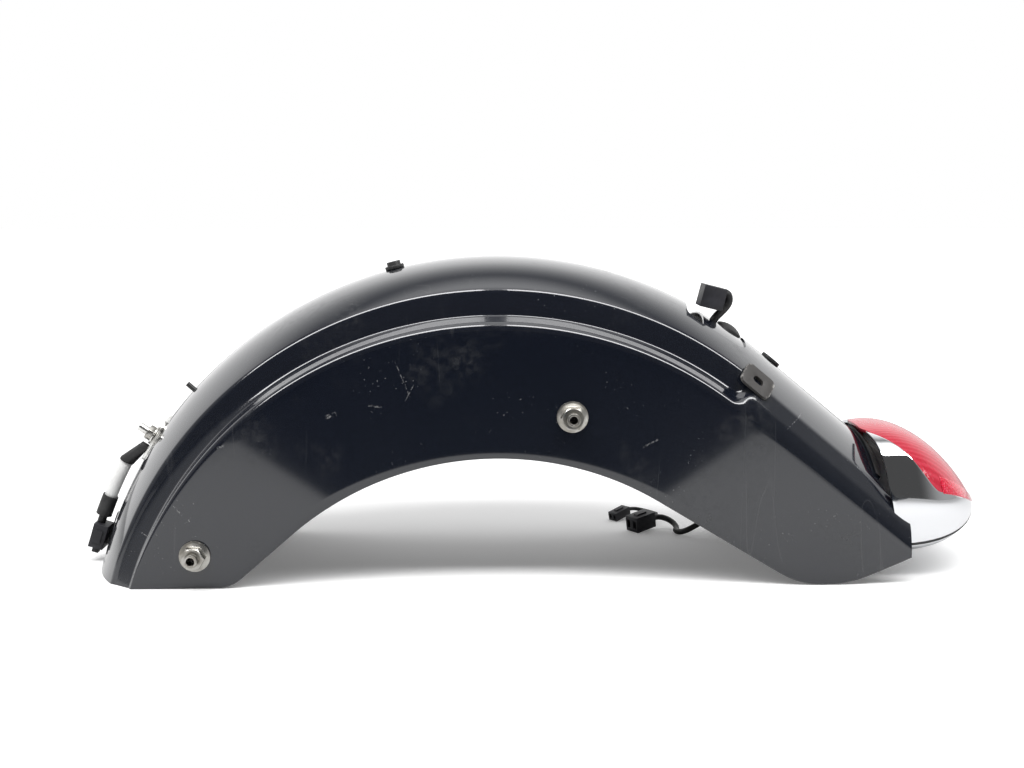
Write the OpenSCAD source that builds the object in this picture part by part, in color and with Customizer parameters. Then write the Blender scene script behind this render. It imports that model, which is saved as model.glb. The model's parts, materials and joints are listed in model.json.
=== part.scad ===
// Rear fender of a motorcycle, standing on its skirt edges.
// X runs from the front to the tail, Y across, Z up. The floor is Z = 0.

/* [Shell] */
// Width over the two flat sides
fender_w = 206; // [196:1:216]
// Radius of the crown along its centre line
crown_r = 393; // [380:1:406]
// How far the crown's arc centre lies under the floor
arc_drop = 99; // [94:1:104]
// Rise of the crown over the shoulder crease
crown_rise = 26; // [22:1:30]
// Distance from a side to the shoulder crease
shoulder_inset = 17; // [14:1:20]
// Height of the step under the crease, at the top of the arc
step_h = 23; // [18:1:27]
// Fall of the ledge from the step's foot to the side
ledge_drop = 6.5; // [4:0.5:9]
// How far the step leans out over its height
step_lean = 2; // [1:0.5:3]
// How much lower the centre of the step's foot lies, which fades the step forwards
foot_fade = 28; // [22:1:32]
// How much lower the centre of the side edge lies
side_fade = 12; // [8:1:16]
// Angle from the top at which the tail starts to run straight
tail_angle = 39.5; // [38:0.5:41]
// Thickness of the sheet
wall = 1.6; // [1.2:0.1:2.2]
// Width of the rolled hem along the lower edges
hem_w = 7; // [5:0.5:9]

/* [Side outline] */
// Radius of the wheel arch
arch_r = 282; // [274:1:290]
// Height of the wheel arch's top
arch_top = 118; // [110:1:126]
// Angle at which the arch's front edge runs straight
arch_front_angle = 41; // [38:1:44]
// Angle at which the arch's rear edge runs straight
arch_rear_angle = 31; // [29:1:34]
// Where the flat foot of the tail ends, behind the arc centre
foot_end_x = 319; // [310:1:328]
// Where the tail ends, behind the arc centre
tail_end_x = 376; // [370:1:382]
// Height of the tail's lower corner
tail_corner_h = 22; // [16:1:28]

/* [Side studs] */
// Front studs, ahead of the arc centre
front_stud_x = 272; // [266:1:278]
// Front studs, height
front_stud_z = 30.5; // [27:0.5:36]
// Middle studs, behind the arc centre
mid_stud_x = 66.5; // [55:0.5:80]
// Middle studs, height
mid_stud_z = 156; // [150:1:162]
// Outside diameter of a hollow stud
stud_d = 12; // [11:0.5:13]
// Diameter of the threaded bore in a stud
stud_bore = 7.5; // [6:0.1:8.5]
// How far a stud stands out of the side
stud_out = 20; // [18:0.5:24]
// Flats of a stud's nut
nut_flats = 19; // [17:1:21]
// Height of a stud's nut
nut_h = 13; // [11:0.5:15]
// Flange of a stud's nut
nut_flange_d = 28; // [26:0.5:32]
// Diameter of the doubler plate behind a stud
doubler_d = 46; // [36:1:46]
// Thickness of a doubler plate
doubler_t = 2.5; // [2:0.5:4]

/* [Crown fittings] */
// Seat nut, angle from the top
seat_nut_angle = -14.2; // [-18:0.2:-10]
// Seat nut, outside diameter of its flange
seat_nut_d = 18; // [16:0.5:20]
// Seat nut, height over the crown
seat_nut_h = 7; // [5:0.5:9]
// Seat nut, bore
seat_nut_bore = 6.4; // [5:0.2:8]
// Length of the opening for the seat lead, along the crown
opening_l = 66; // [56:1:74]
// Width of the opening for the seat lead
opening_w = 108; // [90:1:116]
// Corner radius of the opening
opening_r = 16; // [10:1:22]
// Angle of the opening's middle from the top
opening_angle = 32; // [31:0.2:33]
// Where the ring grommet sits, behind the start of the straight tail
ring_x = 18; // [10:1:26]
// Diameter of the ring grommet
ring_d = 20; // [16:1:24]
// Length of a signal tab
tab_l = 32; // [28:1:36]
// Width of a signal tab
tab_w = 24; // [20:1:28]
// Thickness of a signal tab
tab_t = 3; // [2:0.5:4]

/* [Front plate and lead] */
// Angle of the front plate from the top
plate_angle = -56; // [-60:0.5:-53]
// Length of the front plate, along the crown
plate_l = 44; // [40:1:52]
// Width of the front plate
plate_w = 46; // [38:1:56]
// Thickness of the front plate
plate_t = 2.5; // [2:0.5:4]
// Diameter of the lead's light sleeve
lead_d = 12; // [10:0.5:14]
// Sideways place of the front lead
lead_y = -6; // [-14:1:2]
// Depth of the front connector, away from the crown
plug_depth = 14; // [12:0.5:16]
// Gap between the front lead and the crown
lead_gap = 4; // [3:0.5:6]
// Length of the front connector
plug_l = 24; // [20:1:28]
// Width of the front connector
plug_w = 20; // [16:1:26]
// Diameter of the front plate's stud
plate_stud_d = 8; // [6:0.5:10]
// How far the front plate's stud stands out
plate_stud_out = 20; // [14:1:24]
// Diameter of the small screw on the crown
crown_screw_d = 5; // [4:0.5:6]
// How far the small screw stands out
crown_screw_out = 9; // [7:0.5:12]

/* [Tail lamp] */
// Where the lamp starts on the crown, ahead of the tail's end
lamp_lap = 28; // [24:1:32]
// How far the lamp reaches behind the tail's end
lamp_reach = 83; // [76:1:92]
// Half the width of the lamp
lamp_half_w = 96; // [90:1:99]
// Height of the lamp's rear tip
lamp_tip_h = 57; // [50:1:64]
// Height of the lamp's top edge where it starts
lamp_top_h = 131; // [128:1:136]
// Height of the lamp's lower edge
lamp_low_h = 19; // [16:1:24]
// Thickness of the lamp housing
lamp_wall = 2.4; // [2:0.2:3.2]
// Thickness of the lens
lens_t = 2.8; // [2:0.2:3.6]
// Thickness of the reflex inserts on the lens
reflex_t = 1; // [0.8:0.1:1.4]
// Height of the bulb's axis
bulb_z = 74; // [68:1:80]
// Diameter of the bulb holder
socket_d = 24; // [20:1:28]
// Diameter of the bulb's glass
bulb_d = 20; // [16:1:24]
// Diameter of the lamp's screws
screw_d = 5; // [4:0.5:6]
// Sideways place of the lamp's screws
screw_y = 50; // [40:1:58]
// Height of the lamp's screws
screw_z = 62; // [54:1:70]
// Thickness of the lamp's base plate
base_t = 3; // [2:0.5:4]
// Gap between the tail's end and the base plate
base_gap = 4; // [3:0.5:6]
// How far the lamp's bracket lies inside the tail's end
bracket_in = 14; // [10:1:20]
// Thickness of the lamp's bracket
bracket_t = 2.5; // [2:0.5:4]
// Thickness of the gasket under the lamp's front edge
gasket_t = 2.2; // [1.5:0.1:2.6]

/* [Leads] */
// Diameter of the harness inside the crown
harness_d = 8; // [6:0.5:10]
// Diameter of the seat lead
seat_lead_d = 8; // [6:0.5:9]
// Length of the seat lead's connector
block_l = 22; // [18:1:26]
// Width of the seat lead's connector
block_w = 26; // [20:1:32]
// Height of the seat lead's connector
block_h = 21; // [17:1:24]
// Diameter of the lead that lies on the floor
floor_lead_d = 6; // [5:0.5:7]
// Diameter of the domed seal in the opening
seal_d = 26; // [22:1:30]
// Thickness of the bridge under the opening
bridge_t = 2; // [1.5:0.1:3]

/* [Hidden] */

fine = 180;
round_n = 48;
big = 1200;
half_w = fender_w / 2;
crease_y = half_w - shoulder_inset;
cap_r = (crease_y * crease_y + crown_rise * crown_rise) / (2 * crown_rise);
crease_r = crown_r - crown_rise;
crown_top = crown_r - arc_drop;
foot_y = crease_y + step_lean;
foot_drop = arc_drop + foot_fade;
foot_r = crown_top - crown_rise - step_h + foot_drop;
side_drop = arc_drop + side_fade;
side_r = crown_top - crown_rise - step_h - ledge_drop + side_drop;
ledge_slope = ledge_drop / (half_w - foot_y);
fade_slope = 1.35;
tail_turn = 13;
tail_turn_y = half_w - 5;
tail_fall = step_h + 3;
tail_len = 260;
// The straight tail is pressed this much lower than the arc where they meet.
tail_step = 0.05;
// The arch's straight edges are cut this much less deep than its arc where they meet.
arch_step = 0.08;
washer_r = 1.2 * plate_stud_d;
boot_d = 8;
boot_a0 = asin((washer_r + boot_d / 2 + 1) / crown_r) - plate_angle;
boot_a1 = 61.1;
sleeve_a0 = 66.4;
sleeve_a1 = 69.2;
plug_a0 = 70.3;
plug_angle = plug_a0 + asin(plug_l / 2 / crown_r);
rear_reach = tail_end_x + lamp_reach;
// The front connector is the foremost piece.
front_reach = (crown_r + lead_gap + plug_depth) * sin(plug_angle) + plug_l / 2 * cos(plug_angle);
// The lamp's loft ends a little short of its tip.
tip_short = 1;
arc_x = (front_reach + tip_short - rear_reach) / 2;
seat = 0.3;
weld_gap = 0.1;
lead_r = crown_r + lead_gap + 4 + lead_d / 2;
crown_screw_angle = -47.6;
block_angle = 29;
block_lean = 14;
block_lift = 3;
block_y = -6;
seal_angle = opening_angle + asin((opening_l / 2 - seal_d / 2 - 1) / crown_r);
seal_dome = 22;
seal_deep = 7.5;
seat_lead_angle = 32.2;
bracket_low = 40;
lens_cols = 16;
reflex_cols = 4;
reflex_end = 0.9;
edge_gap = 0.4;
reflex_span = 15;
harness_drop = 6.5;
harness_r = crown_r - wall - harness_d / 2 - harness_drop;
harness_a0 = 31;
link_lead_d = 4;
terminal_in = 2.5;
terminal_w = 6;
terminal_h = 1.7;
harness_end = 128;

// Revolves a section around an arc's axis, as far as the start of the tail.
module arched(drop) {
    translate([arc_x, 0, -drop]) intersection() {
        rotate([90, 0, 0]) rotate_extrude($fn = fine) children();
        rotate([0, tail_angle, 0]) translate([-big, -half_w * 2, -big]) cube([big, half_w * 4, 2 * big]);
    }
}

// Runs a section straight on along the tail.
module along_tail() {
    translate([arc_x, 0, -arc_drop]) rotate([0, tail_angle, 0]) rotate([0, -90, 0])
        translate([0, 0, -tail_len]) linear_extrude(tail_len + 1) children();
}

// The crown between its creases, set in by d.
module crown_section(d) {
    lean = step_lean / step_h;
    reach = crown_rise + 10;
    low = step_h * 3;
    intersection() {
        translate([crown_r - cap_r, 0]) circle(r = cap_r - d, $fn = fine);
        polygon([[0, -crease_y - lean * low + d], [crease_r - low, -crease_y - lean * low + d],
            [crease_r + reach, -crease_y + lean * reach + d], [crease_r + reach, crease_y - lean * reach - d],
            [crease_r - low, crease_y + lean * low - d], [0, crease_y + lean * low - d]]);
    }
}

// A body as wide as the fender whose top falls from edge y to the sides.
module shoulder_section(r, y, slope, d) {
    out = r - d * sqrt(1 + slope * slope);
    fall = slope * (half_w - y - d);
    polygon([[0, -half_w + d], [out - fall, -half_w + d], [out, -y], [out, y], [out - fall, half_w - d],
        [0, half_w - d]]);
}

// The tail's shoulder, where the ledge has run out: two slopes from the crease to the side.
module tail_section(d) {
    out = crease_r - d;
    polygon([[0, -half_w + d], [out - tail_fall, -half_w + d], [out - tail_turn, -tail_turn_y + d],
        [out, -crease_y + d / 2], [out, crease_y - d / 2], [out - tail_turn, tail_turn_y - d],
        [out - tail_fall, half_w - d], [0, half_w - d]]);
}

// The space inside the sheet's outer face, set in by d.
module envelope(d) {
    arched(arc_drop) crown_section(d);
    arched(foot_drop) shoulder_section(foot_r, foot_y, fade_slope, d);
    arched(side_drop) shoulder_section(side_r + ledge_drop, foot_y, ledge_slope, d);
    along_tail() {
        crown_section(d + tail_step);
        tail_section(d + tail_step);
    }
}

// What the wheel arch takes out of the side, made larger by grow.
module arch_outline(grow) {
    r = arch_r + grow;
    far = arch_r;
    translate([arc_x, arch_top - arch_r]) {
        circle(r = r, $fn = fine);
        rotate(arch_front_angle) translate([-far, 0]) square([far, r - arch_step]);
        rotate(-arch_rear_angle) square([far, r - arch_step]);
    }
}

// The side's outline, from the floor up, with its lower corner cut at the tail.
module side_outline(grow) {
    top = crown_top + 40;
    polygon([[-big + arc_x, grow], [foot_end_x + arc_x - grow / 2, grow],
        [tail_end_x + arc_x - 5 - grow, tail_corner_h + grow / 2],
        [tail_end_x + arc_x - grow, tail_corner_h + 38], [tail_end_x + arc_x - grow, top],
        [-big + arc_x, top]]);
}

module upright(y0, y1) {
    translate([0, y1, 0]) rotate([90, 0, 0]) linear_extrude(y1 - y0) children();
}

module fender_shell() {
    color([0.05, 0.06, 0.09]) difference() {
        union() {
            difference() {
                intersection() {
                    envelope(0);
                    upright(-half_w - 1, half_w + 1) difference() {
                        side_outline(0);
                        arch_outline(0);
                    }
                }
                envelope(wall);
            }
            // The hem is a second layer of sheet, folded to the inside.
            for (s = [-1, 1]) intersection() {
                envelope(wall / 2);
                upright(s * (half_w - 1.5 * wall) - wall / 2, s * (half_w - 1.5 * wall) + wall / 2)
                    difference() {
                        intersection() {
                            difference() {
                                side_outline(0);
                                arch_outline(0);
                            }
                            union() {
                                arch_outline(hem_w);
                                difference() {
                                    side_outline(0);
                                    side_outline(hem_w);
                                }
                            }
                        }
                        translate([arc_x + tail_end_x - 60, tail_corner_h]) square([100, big]);
                    }
            }
        }
        for (p = stud_places) at_stud(p, 1) translate([0, 0, -fender_w - 5])
            cylinder(d = stud_d + weld_gap, h = fender_w + 10, $fn = round_n);
        at_crown(seat_nut_angle) translate([0, 0, -20]) cylinder(d = seat_nut_d - 6, h = 40, $fn = round_n);
        at_crown(opening_angle) opening_tool();
        at_crown(plate_angle) translate([0, lead_y, -20]) cylinder(d = plate_stud_d, h = 40, $fn = round_n);
        at_crown(crown_screw_angle) translate([0, 0, -20]) cylinder(d = crown_screw_d, h = 40, $fn = round_n);
        at_tail(ring_x) translate([0, 0, -12]) cylinder(d = ring_d - 5, h = 24, $fn = round_n);
    }
}

// Puts a thing on the crown's centre line, standing outwards, at an angle from the top.
module at_crown(a) {
    translate([arc_x, 0, -arc_drop]) rotate([0, a, 0]) translate([0, 0, crown_r]) children();
}

// Puts a thing on the straight tail's centre line, x behind the start of the tail.
module at_tail(x) {
    translate([arc_x, 0, -arc_drop]) rotate([0, tail_angle, 0]) translate([x, 0, crown_r]) children();
}

module rounded_plate(l, w, r, h) {
    linear_extrude(h) {
        square([l - 2 * r, w], center = true);
        square([l, w - 2 * r], center = true);
        for (x = [-1, 1], y = [-1, 1]) translate([x * (l / 2 - r), y * (w / 2 - r)]) circle(r = r, $fn = round_n);
    }
}

module opening_tool() {
    translate([0, 0, -45]) rounded_plate(opening_l, opening_w, opening_r, 80);
}

stud_places = [[-front_stud_x, front_stud_z], [mid_stud_x, mid_stud_z]];

// Puts a thing on the side panel's outer face, standing outwards; s is -1 for the left side.
module at_stud(p, s) {
    translate([arc_x + p[0], s * half_w, p[1]]) rotate([-90 * s, 0, 0]) children();
}

// A hollow threaded stud, welded to its doubler behind the sheet.
module stud(p, s) {
    under = wall + doubler_t;
    color("silver") at_stud(p, s) difference() {
        union() {
            translate([0, 0, -under - 3]) cylinder(d = stud_d + 6, h = 3, $fn = round_n);
            translate([0, 0, -under]) cylinder(d = stud_d, h = under + stud_out, $fn = round_n);
        }
        translate([0, 0, -under - 4]) cylinder(d = stud_bore, h = under + stud_out + 5, $fn = round_n);
    }
}

// A flange nut with chamfered corners on a stud.
module flange_nut(p, s) {
    flange_h = 2.2;
    color([0.75, 0.74, 0.68]) at_stud(p, s) difference() {
        union() {
            cylinder(d = nut_flange_d, h = flange_h, $fn = round_n);
            translate([0, 0, flange_h]) cylinder(d1 = nut_flange_d - 1, d2 = nut_flats, h = flange_h, $fn = round_n);
            intersection() {
                cylinder(d = nut_flats / cos(30), h = nut_h, $fn = 6);
                union() {
                    cylinder(d = nut_flats / cos(30) + 1, h = nut_h - 2, $fn = round_n);
                    translate([0, 0, nut_h - 2])
                        cylinder(d1 = nut_flats / cos(30) + 1, d2 = nut_flats - 0.5, h = 2, $fn = round_n);
                }
            }
        }
        translate([0, 0, -1]) cylinder(d = stud_d, h = nut_h + 2, $fn = round_n);
    }
}

module stud_doublers() {
    color([0.08, 0.08, 0.1]) for (p = stud_places, s = [-1, 1]) at_stud(p, s)
        translate([0, 0, -wall - doubler_t]) difference() {
            cylinder(d = doubler_d, h = doubler_t, $fn = round_n);
            translate([0, 0, -1]) cylinder(d = stud_d, h = doubler_t + 2, $fn = round_n);
        }
}

module seat_nut() {
    color([0.1, 0.1, 0.1]) at_crown(seat_nut_angle) difference() {
        union() {
            translate([0, 0, -14]) cylinder(d = seat_nut_d - 6, h = 15, $fn = round_n);
            cylinder(d = seat_nut_d, h = seat_nut_h * 0.45, $fn = round_n);
            cylinder(d = seat_nut_d - 5, h = seat_nut_h, $fn = round_n);
        }
        translate([0, 0, -15]) cylinder(d = seat_nut_bore, h = seat_nut_h + 20, $fn = round_n);
    }
}

module ring_grommet() {
    color([0.06, 0.06, 0.06]) at_tail(ring_x) rotate_extrude($fn = round_n) difference() {
        translate([ring_d / 2 - 6, -4]) square([6, 7]);
        translate([ring_d / 2 - 2.5, -wall - 0.4]) square([4, wall + 0.4]);
    }
}

// A signal's mounting tab, standing on the shoulder crease.
module signal_tab(s) {
    lean = 45;
    color([0.3, 0.28, 0.26]) translate([arc_x, 0, -arc_drop]) rotate([0, tail_angle, 0])
        translate([0, s * crease_y, crease_r]) rotate([-s * lean, 0, 0]) difference() {
            rounded_plate(tab_l, tab_w, 6, tab_t);
            translate([0, 0, -1]) linear_extrude(tab_t + 2) {
                square([4, 7], center = true);
                for (x = [-1, 1]) translate([x * 2, 0]) circle(d = 7, $fn = round_n);
            }
        }
}

// Point on a quadratic curve through three control points.
function bend(a, b, c, t) = (1 - t) * (1 - t) * a + 2 * t * (1 - t) * b + t * t * c;

lamp_rows = 12;
lamp_cols = 26;
lamp_front = tail_end_x - lamp_lap;
lamp_bulge = 2.3;
lens_low = 12;
lens_high = 80;
lens_turn = 0.42;
lamp_last = 0.985;

function lamp_top(t) = bend([lamp_front, lamp_top_h], [lamp_front + 64, lamp_top_h + 15], [rear_reach, lamp_tip_h], t);
function lamp_low(t) = bend([tail_end_x - 6, lamp_low_h], [tail_end_x + 49, lamp_low_h], [rear_reach, lamp_tip_h], t);
function power(v, e) = sign(v) * pow(abs(v), e);

// Point of the lamp's face, set in by d, at t from front to tip and at angle a from the left side over the top.
function lamp_point(t, a, d) =
    let (top = lamp_top(t), low = lamp_low(t), mid = top + 0.6 * (low - top),
        wide = max(lamp_half_w * sqrt(1 - pow(t, 2.4)) - d, 0.6),
        c = power(cos(a), 2 / lamp_bulge), s = power(sin(a), 2 / lamp_bulge),
        to = s > 0 ? top - mid : low - mid, long = max(norm(to) - d, 0.3) / norm(to))
    [mid[0] + to[0] * abs(s) * long - d * t * t, -wide * c, mid[1] + to[1] * abs(s) * long];

// Angle of the lens's lower edge: from near the top at the front to low at the sides.
function lens_edge(t) = lens_low + (lens_high - lens_low) * pow(max(1 - t / lens_turn, 0), 1.6);

// Rows of t, closer together towards the tip.
function lamp_t(j, t0, t1) = let (u = j / lamp_rows) t0 + (t1 - t0) * (1 - pow(1 - u, 1.5));

// A lofted solid through rings of points, each ring turning the same way.
module loft(rings) {
    n = len(rings[0]);
    last = len(rings) - 1;
    faces = concat([[for (i = [0 : n - 1]) i]],
        [for (j = [0 : last - 1], i = [0 : n - 1])
            each [[j * n + i, (j + 1) * n + i, (j + 1) * n + (i + 1) % n],
                [j * n + i, (j + 1) * n + (i + 1) % n, j * n + (i + 1) % n]]],
        [[for (i = [0 : n - 1]) last * n + n - 1 - i]]);
    translate([arc_x, 0, 0]) polyhedron([for (r = rings) each r], faces);
}

// A shell strip of the lamp's face between the angles in spans, from depth d0 in to depth d1.
module lamp_strip(spans, d0, d1, t0, t1, cols) {
    loft([for (j = [0 : lamp_rows]) let (t = lamp_t(j, t0, t1), a0 = spans[j][0], a1 = spans[j][1])
        concat([for (i = [0 : cols]) lamp_point(t, a0 + (a1 - a0) * i / cols, d0)],
            [for (i = [cols : -1 : 0]) lamp_point(t, a0 + (a1 - a0) * i / cols, d1)])]);
}

// The tail that the lamp laps over, with a running gap.
module tail_seat() {
    intersection() {
        along_tail() {
            crown_section(-seat);
            tail_section(-seat);
        }
        translate([arc_x + lamp_front - 40, -half_w * 2, -big / 2]) cube([lamp_lap + 40 + seat, half_w * 4, big]);
    }
}

module lamp_housing() {
    spans = [for (j = [0 : lamp_rows]) let (e = lens_edge(lamp_t(j, 0, lamp_last)))
        [180 - e + edge_gap, 360 + e - edge_gap]];
    color([0.85, 0.86, 0.88]) difference() {
        lamp_strip(spans, 0, lamp_wall, 0, lamp_last, lamp_cols);
        tail_seat();
    }
}

module lamp_lens() {
    spans = [for (j = [0 : lamp_rows]) let (e = lens_edge(lamp_t(j, 0, lamp_last))) [e, 180 - e]];
    color([0.8, 0.05, 0.1]) lamp_strip(spans, 0, lens_t, 0, lamp_last, lens_cols);
}

// The red reflex inserts stand on the lens along its lower edges.
module side_reflectors() {
    t0 = lens_turn + 0.03;
    color([0.8, 0, 0.08]) for (side = [0, 1]) {
        spans = [for (j = [0 : lamp_rows]) let (e = lens_edge(lamp_t(j, t0, reflex_end)) + edge_gap)
            side == 0 ? [e, e + reflex_span] : [180 - e - reflex_span, 180 - e]];
        lamp_strip(spans, -reflex_t, -edge_gap / 4, t0, reflex_end, reflex_cols);
    }
}

// The bulb's axis starts on the tail's end plane and points back.
module at_lamp() {
    translate([arc_x + tail_end_x, 0, bulb_z]) rotate([0, 90, 0]) children();
}

module at_screw(s) {
    translate([arc_x + tail_end_x - bracket_in, s * screw_y, screw_z]) rotate([0, 90, 0]) children();
}

// Where the lamp's top or low line passes x, found by halving.
function t_at(top, x, a, b, n) = n == 0 ? (a + b) / 2 : let (m = (a + b) / 2, v = top ? lamp_top(m) : lamp_low(m))
    v[0] < x ? t_at(top, x, m, b, n - 1) : t_at(top, x, a, m, n - 1);

// Closes the housing behind the tail's end and carries the bulb holder.
module lamp_base() {
    inset = lamp_wall + 0.8;
    back = tail_end_x + base_gap + base_t;
    t_top = t_at(true, back, 0, 1, 20);
    t_low = t_at(false, back, 0, 1, 20);
    top_z = lamp_top(t_top)[1] - inset;
    low_z = lamp_low(t_low)[1] + inset;
    mid_z = 0.4 * top_z + 0.6 * low_z;
    wide = lamp_half_w * sqrt(1 - pow((t_top + t_low) / 2, 2.4)) - inset;
    color([0.9, 0.9, 0.88]) difference() {
        translate([arc_x + tail_end_x + base_gap, 0, 0]) rotate([90, 0, 90]) linear_extrude(base_t)
            polygon([for (i = [0 : 59]) let (c = power(cos(6 * i), 2 / lamp_bulge), s = power(sin(6 * i), 2 / lamp_bulge))
                [wide * c, mid_z + s * (s > 0 ? top_z - mid_z : mid_z - low_z)]]);
        at_lamp() cylinder(d = socket_d + 2 * seat, h = base_t + base_gap + 2, $fn = round_n);
        for (s = [-1, 1]) at_screw(s) cylinder(d = screw_d + 2 * seat, h = bracket_in + 20, $fn = round_n);
    }
}

module bulb_socket() {
    color([0.9, 0.9, 0.86]) at_lamp() difference() {
        union() {
            translate([0, 0, -6]) cylinder(d = socket_d, h = 26, $fn = round_n);
            translate([0, 0, base_gap + base_t + seat]) cylinder(d = socket_d + 8, h = 2, $fn = round_n);
        }
        translate([0, 0, 2]) cylinder(d = socket_d - 6, h = 30, $fn = round_n);
    }
}

module lamp_bulb() {
    base_d = socket_d - 6 - 2 * seat;
    color([0.95, 0.95, 0.95]) at_lamp() {
        translate([0, 0, 2 + seat]) cylinder(d = base_d, h = 18, $fn = round_n);
        translate([0, 0, 20]) cylinder(d = bulb_d * 0.7, h = 6, $fn = round_n);
        translate([0, 0, 20 + bulb_d / 2]) sphere(d = bulb_d, $fn = round_n);
    }
}

// A plate welded across the inside of the tail's end.
module lamp_bracket() {
    color([0.1, 0.1, 0.11]) difference() {
        intersection() {
            along_tail() {
                crown_section(wall + weld_gap);
                tail_section(wall + weld_gap);
            }
            translate([arc_x + tail_end_x - bracket_in, -half_w, bracket_low]) cube([bracket_t, fender_w, big]);
        }
        at_lamp() translate([0, 0, -30]) cylinder(d = socket_d + 12, h = 40, $fn = round_n);
        for (s = [-1, 1]) at_screw(s) translate([0, 0, -1]) cylinder(d = screw_d + 2 * seat, h = 10, $fn = round_n);
    }
}

// Two screws clamp the lamp's base to the bracket over a spacer sleeve each.
module lamp_screws() {
    reach = bracket_in + base_gap + base_t;
    color([0.7, 0.7, 0.68]) for (s = [-1, 1]) at_screw(s) {
        translate([0, 0, -8]) cylinder(d = screw_d, h = reach + 8 + seat, $fn = round_n);
        translate([0, 0, reach + seat / 2]) cylinder(d = screw_d + 5, h = 3, $fn = round_n);
        translate([0, 0, -6]) cylinder(d = 8 / cos(30), h = 5.8, $fn = 6);
    }
}

module screw_spacers() {
    color([0.55, 0.55, 0.52]) for (s = [-1, 1]) at_screw(s) translate([0, 0, bracket_t + seat / 2]) difference() {
        cylinder(d = screw_d + 4, h = bracket_in + base_gap - bracket_t - seat, $fn = round_n);
        translate([0, 0, -1]) cylinder(d = screw_d + 2 * seat, h = 40, $fn = round_n);
    }
}

// A dark rubber strip on the crown, under the lamp's front edge.
module lamp_gasket() {
    color([0.03, 0.03, 0.03]) intersection() {
        along_tail() difference() {
            crown_section(-gasket_t);
            crown_section(-weld_gap);
            translate([0, -half_w]) square([crown_r - crown_rise * 0.75, fender_w]);
        }
        translate([arc_x + lamp_front, -half_w, 0]) cube([5, fender_w, big]);
    }
}

// A full ring of a section around the crown's axis.
module ring_of() {
    translate([arc_x, 0, -arc_drop]) rotate([90, 0, 0]) rotate_extrude($fn = fine) children();
}

// A plate pressed to the crown's curve, over its front.
module front_plate() {
    color([0.78, 0.78, 0.76]) difference() {
        intersection() {
            ring_of() difference() {
                crown_section(-plate_t);
                crown_section(-weld_gap);
            }
            at_crown(plate_angle) translate([0, lead_y, -20]) rounded_plate(plate_l, plate_w, 10, 40);
        }
        at_crown(plate_angle) translate([0, lead_y, -30]) cylinder(d = plate_stud_d, h = 60, $fn = round_n);
    }
}

// The stud's head lies inside the crown; its thread takes the nut and stands out.
module plate_stud() {
    color([0.8, 0.8, 0.76]) at_crown(plate_angle) translate([0, lead_y, 0]) {
        translate([0, 0, -wall - 6]) cylinder(d = plate_stud_d + 6, h = 5.2, $fn = round_n);
        translate([0, 0, -wall - 2]) cylinder(d = plate_stud_d, h = wall + 2 + plate_stud_out, $fn = round_n);
    }
}

module plate_washer() {
    color([0.8, 0.8, 0.78]) at_crown(plate_angle) translate([0, lead_y, plate_t + seat]) difference() {
        cylinder(r = washer_r, h = 1.6, $fn = round_n);
        translate([0, 0, -1]) cylinder(d = plate_stud_d, h = 4, $fn = round_n);
    }
}

module plate_nut() {
    across = 1.65 * plate_stud_d / cos(30);
    color([0.8, 0.79, 0.72]) at_crown(plate_angle) translate([0, lead_y, plate_t + seat + 1.6]) difference() {
        intersection() {
            cylinder(d = across, h = 6.5, $fn = 6);
            cylinder(d1 = across + 4, d2 = across - 1.5, h = 6.5, $fn = round_n);
        }
        translate([0, 0, -1]) cylinder(d = plate_stud_d, h = 10, $fn = round_n);
    }
}

module crown_screw() {
    color([0.25, 0.25, 0.25]) at_crown(crown_screw_angle) {
        translate([0, 0, -wall - 5]) cylinder(d = crown_screw_d + 4, h = 4.5, $fn = round_n);
        translate([0, 0, -wall - 3]) cylinder(d = crown_screw_d, h = wall + 3 + crown_screw_out, $fn = round_n);
    }
}

// A stretch of lead that follows the crown from angle a0 to a1 ahead of the top.
module lead_run(d, a0, a1) {
    translate([arc_x, lead_y, -arc_drop]) rotate([90, 0, 0]) rotate(90 + a0)
        rotate_extrude(angle = a1 - a0, $fn = fine) translate([lead_r, 0]) circle(d = d, $fn = round_n);
}

module lead_tube() {
    color([0.93, 0.93, 0.92]) lead_run(lead_d, boot_a1, sleeve_a0);
}

module lead_sleeve() {
    color([0.07, 0.07, 0.07]) lead_run(lead_d + 3, sleeve_a0, sleeve_a1);
}

module lead_neck() {
    color([0.07, 0.07, 0.07]) lead_run(lead_d - 4, sleeve_a1, plug_a0);
}

// The rubber boot leads from the crown to the start of the light tube.
module lead_boot() {
    color([0.06, 0.06, 0.06]) hull() {
        at_crown(-boot_a0) translate([0, lead_y, plate_t + seat]) cylinder(d = boot_d, h = 7, $fn = 32);
        at_crown(-boot_a1) translate([0, lead_y, lead_r - crown_r]) rotate([0, 90, 0])
            cylinder(d = lead_d + 2, h = 2, $fn = 32);
    }
}

module front_connector() {
    color([0.05, 0.05, 0.05]) at_crown(-plug_angle) translate([-plug_l / 2, lead_y - plug_w / 2, lead_gap]) {
        cube([plug_l, plug_w, plug_depth]);
        for (y = [-1.6, plug_w]) translate([plug_l / 4, y, plug_depth / 4]) cube([plug_l / 2, 1.6, plug_depth / 2]);
    }
}

module connector_latch() {
    color([0.09, 0.09, 0.09]) at_crown(-plug_angle)
        translate([-plug_l / 2 - 6, lead_y - 4, lead_gap + plug_depth * 0.3]) cube([6 - weld_gap, 8, plug_depth * 0.45]);
}

// A strip on the crown that the connector is clipped to.
module connector_clip() {
    color([0.1, 0.1, 0.1]) intersection() {
        ring_of() translate([crown_r + seat, lead_y - 6]) square([lead_gap - 2 * seat, 12]);
        at_crown(-plug_angle) translate([2 - plug_l / 2, -half_w, -20]) cube([plug_l * 1.4, fender_w, 60]);
    }
}

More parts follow.
